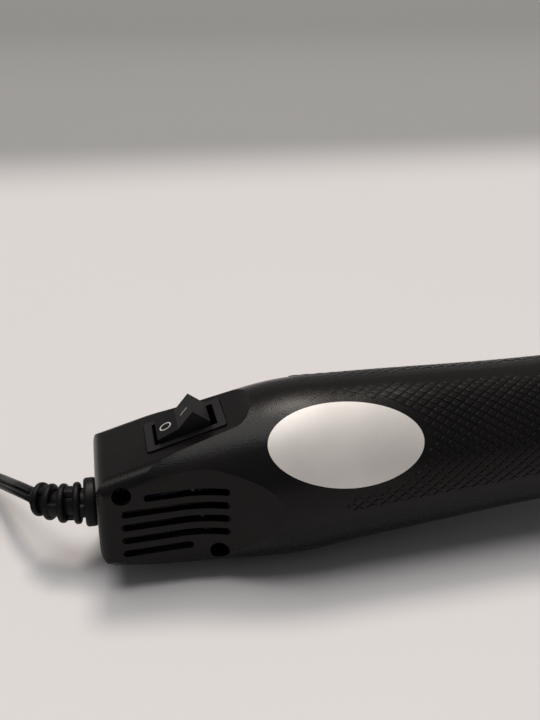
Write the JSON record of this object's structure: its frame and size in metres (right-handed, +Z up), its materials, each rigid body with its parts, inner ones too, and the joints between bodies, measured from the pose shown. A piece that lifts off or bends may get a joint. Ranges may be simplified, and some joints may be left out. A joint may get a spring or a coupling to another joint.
{
  "type": "embossing heat tool",
  "caption": "Corded hot-air embossing tool: black grip barrel with a squared slotted tail, rocker switch, steel nozzle with a wound heater inside, motor and fan, folding wire stand.",
  "frame": {"origin": "on the table, under the middle of the tool's length, measured without the cord, its coil, plug and strain relief", "axes": "+X forward along the tool to the nozzle, +Z up, +Y to the tool's left"},
  "size_m": [0.3906, 0.0754, 0.0494],
  "materials": {
    "shell_plastic": "fine satin texture, raised rhombs on the grip",
    "collar_plastic": "fine satin",
    "screw_steel": "zinc plated",
    "plate_silver": "satin silver foil on an oval plate, left bare",
    "switch_plastic": "satin",
    "rocker_plastic": "low gloss with white on and off marks",
    "tab_brass": "bright",
    "relief_rubber": "matt",
    "cord_rubber": "satin",
    "pin_nickel": "nickel plated",
    "nozzle_steel": "bright drawn steel",
    "mica": "flecked mica sheet",
    "heater_wire": "bright resistance wire",
    "fuse_metal": "satin",
    "motor_steel": "zinc plated",
    "pale_plastic": "moulded",
    "board": "solder mask",
    "capacitor_plastic": "dipped",
    "lead_insulation": "smooth sleeving",
    "stand_chrome": "bright wire"
  },
  "bodies": {
    "housing": {"right_shell": "shell_plastic", "left_shell": "shell_plastic", "front_collar": "collar_plastic", "housing_screws": "screw_steel", "rating_plate": "plate_silver", "switch_body": "switch_plastic", "switch_tabs": "tab_brass", "strain_relief": "relief_rubber", "cord": "cord_rubber", "cord_coil": "cord_rubber", "cord_tail": "cord_rubber", "cord_tie": "relief_rubber", "plug_body": "switch_plastic", "plug_pins": "pin_nickel", "nozzle_tube": "nozzle_steel", "mica_sleeve": "mica", "mica_cross": "mica", "heating_coil": "heater_wire", "heater_base": "mica", "thermostat": "screw_steel", "thermal_fuse": "fuse_metal", "motor_can": "motor_steel", "motor_end_cap": "pale_plastic", "motor_tabs": "tab_brass", "motor_cage": "pale_plastic", "circuit_board": "board", "rectifier_diodes": "switch_plastic", "capacitor": "capacitor_plastic", "mains_leads": "lead_insulation", "motor_leads": "lead_insulation", "heater_leads": "lead_insulation"},
    "rocker": {"rocker": "rocker_plastic"},
    "rotor": {"motor_shaft": "motor_steel", "fan": "pale_plastic"},
    "stand": {"wire_stand": "stand_chrome"}
  },
  "joints": [
    {"name": "rocker_switch", "type": "hinge", "parent": "housing", "child": "rocker", "pos_m": [-0.09199, 0, 0.03705], "axis": [0, 1, 0], "range_deg": [0, 44]},
    {"name": "fan_spin", "type": "hinge", "parent": "housing", "child": "rotor", "pos_m": [0.02, 0, 0.02749], "axis": [1, 0, 0], "continuous": true},
    {"name": "stand_fold", "type": "hinge", "parent": "housing", "child": "stand", "pos_m": [0.052, 0, 0.0195], "axis": [0, 1, 0], "range_deg": [0, 62]}
  ]
}
